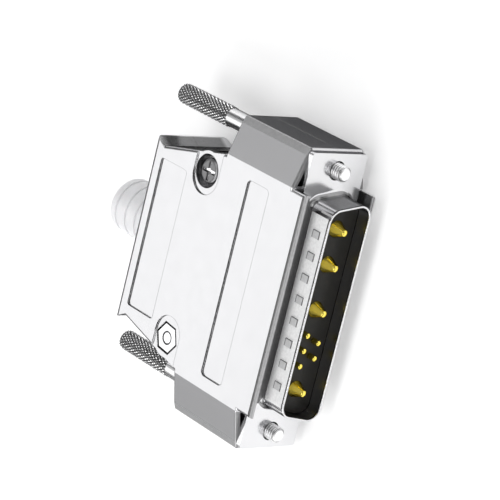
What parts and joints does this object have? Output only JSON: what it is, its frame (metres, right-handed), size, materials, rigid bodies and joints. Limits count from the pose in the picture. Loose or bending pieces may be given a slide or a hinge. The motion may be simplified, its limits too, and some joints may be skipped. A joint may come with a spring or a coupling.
{
  "type": "d-sub connector",
  "caption": "Mixed power and signal D-sub plug in a split metal hood with knurled jackscrews and a grooved cable boot.",
  "frame": {"origin": "centre of the D-shaped mouth in the flange's front face", "axes": "-Y is the mating direction and +Y points to the cable end; X runs along the long axis of the D; +Z is the narrow side of the D and the normal of one big hood face"},
  "size_m": [0.054, 0.0552, 0.0162],
  "materials": {
    "hood": "smooth bright nickel plating on a zinc casting",
    "shell": "bright tin plating on steel sheet",
    "insulator": "moulded, slightly glossy",
    "contact": "gold plating",
    "screw": "bright nickel plating",
    "boot": "smooth milky flexible plastic"
  },
  "bodies": {
    "hood": {"hood_upper": "hood", "hood_lower": "hood", "front_shell": "shell", "rear_shell": "shell", "front_insulator": "insulator", "rear_insulator": "insulator", "power_pin_1": "contact", "power_pin_2": "contact", "power_pin_3": "contact", "power_pin_4": "contact", "signal_pin_1": "contact", "signal_pin_2": "contact", "signal_pin_3": "contact", "signal_pin_4": "contact", "signal_pin_5": "contact", "hood_screw_left": "screw", "hood_screw_right": "screw", "hood_nut_left": "screw", "hood_nut_right": "screw", "cable_boot": "boot"},
    "ring_left": {"jackscrew_ring_left": "screw"},
    "ring_right": {"jackscrew_ring_right": "screw"},
    "jackscrew_left": {"jackscrew_left": "screw"},
    "jackscrew_right": {"jackscrew_right": "screw"}
  },
  "joints": [
    {"name": "jackscrew_left_slide", "type": "slide", "parent": "hood", "child": "ring_left", "axis": [0, -1, 0], "range_m": [0, 0.0056]},
    {"name": "jackscrew_left_turn", "type": "hinge", "parent": "ring_left", "child": "jackscrew_left", "pos_m": [-0.02352, 0.02, 0], "axis": [0, -1, 0], "continuous": true},
    {"name": "jackscrew_right_slide", "type": "slide", "parent": "hood", "child": "ring_right", "axis": [0, -1, 0], "range_m": [0, 0.0056]},
    {"name": "jackscrew_right_turn", "type": "hinge", "parent": "ring_right", "child": "jackscrew_right", "pos_m": [0.02352, 0.02, 0], "axis": [0, -1, 0], "continuous": true}
  ]
}
